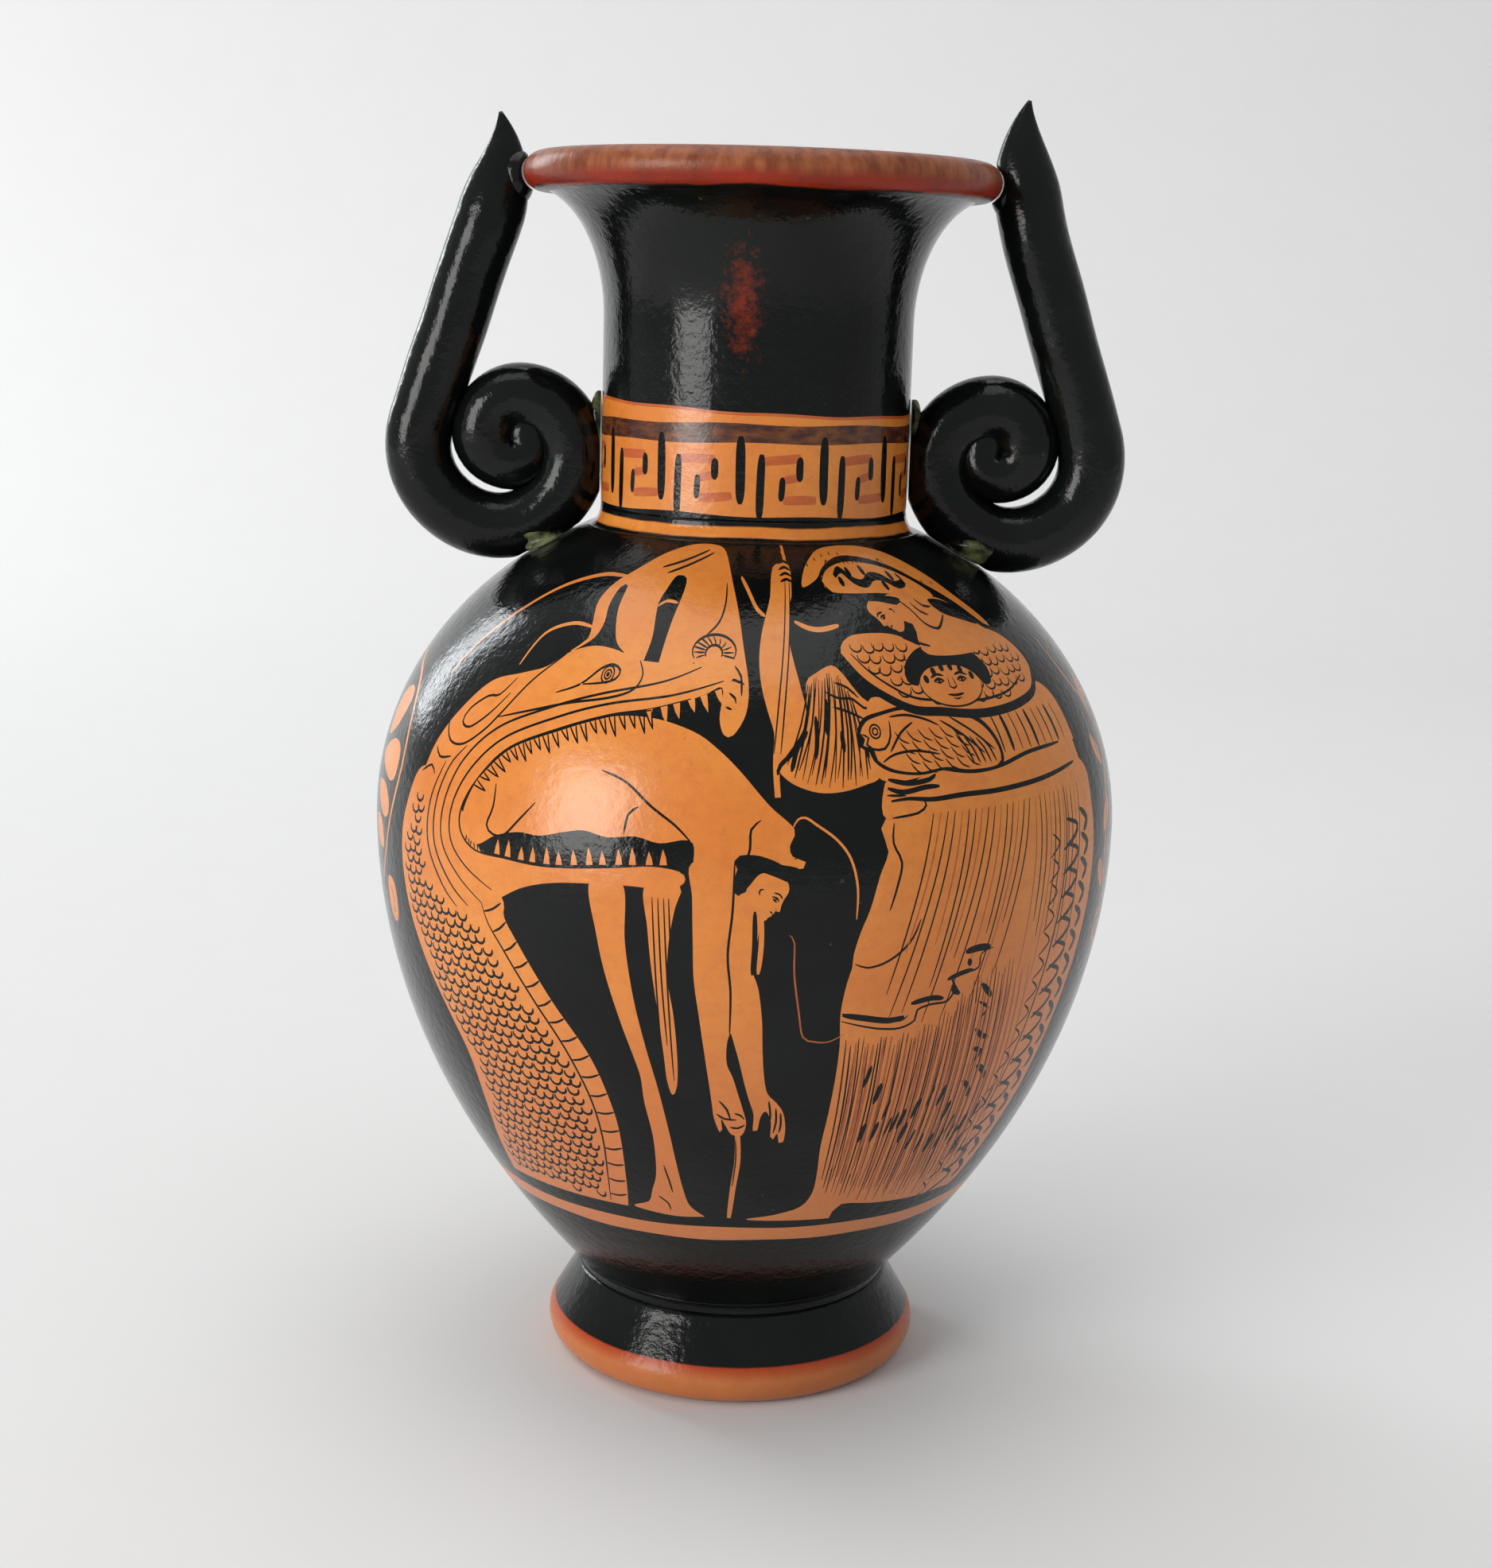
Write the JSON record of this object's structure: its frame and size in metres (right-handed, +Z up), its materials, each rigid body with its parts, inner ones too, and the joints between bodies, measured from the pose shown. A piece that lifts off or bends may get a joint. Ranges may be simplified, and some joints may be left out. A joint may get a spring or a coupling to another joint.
{
  "type": "amphora",
  "caption": "Neck amphora of thrown clay with a round foot, an egg-shaped hollow body, a flared mouth and two coiled handles that rise into horns.",
  "frame": {"origin": "on the ground under the middle of the foot", "axes": "+Z up, -Y towards the painted front, handles along X"},
  "size_m": [0.146, 0.146, 0.2506],
  "materials": {
    "foot_slip": "glossy black slip over fired clay, bare orange edge",
    "figure_slip": "glossy black slip with figures left in orange clay",
    "neck_slip": "glossy black slip with orange bands and a key pattern",
    "lip_wash": "red-brown slip brushed round the rim",
    "handle_slip": "glossy black slip on hand-rolled clay, slightly mottled",
    "luting_clay": "smeared joining clay under thin greenish black slip"
  },
  "bodies": {
    "root": {"foot": "foot_slip", "body": "figure_slip", "neck": "neck_slip", "lip": "lip_wash", "handle_left": "handle_slip", "handle_right": "handle_slip", "foot_luting_ring": "luting_clay", "neck_luting_ring": "luting_clay", "lip_luting_left": "luting_clay", "lip_luting_right": "luting_clay", "neck_luting_left": "luting_clay", "neck_luting_right": "luting_clay", "shoulder_luting_left": "luting_clay", "shoulder_luting_right": "luting_clay"}
  },
  "joints": []
}
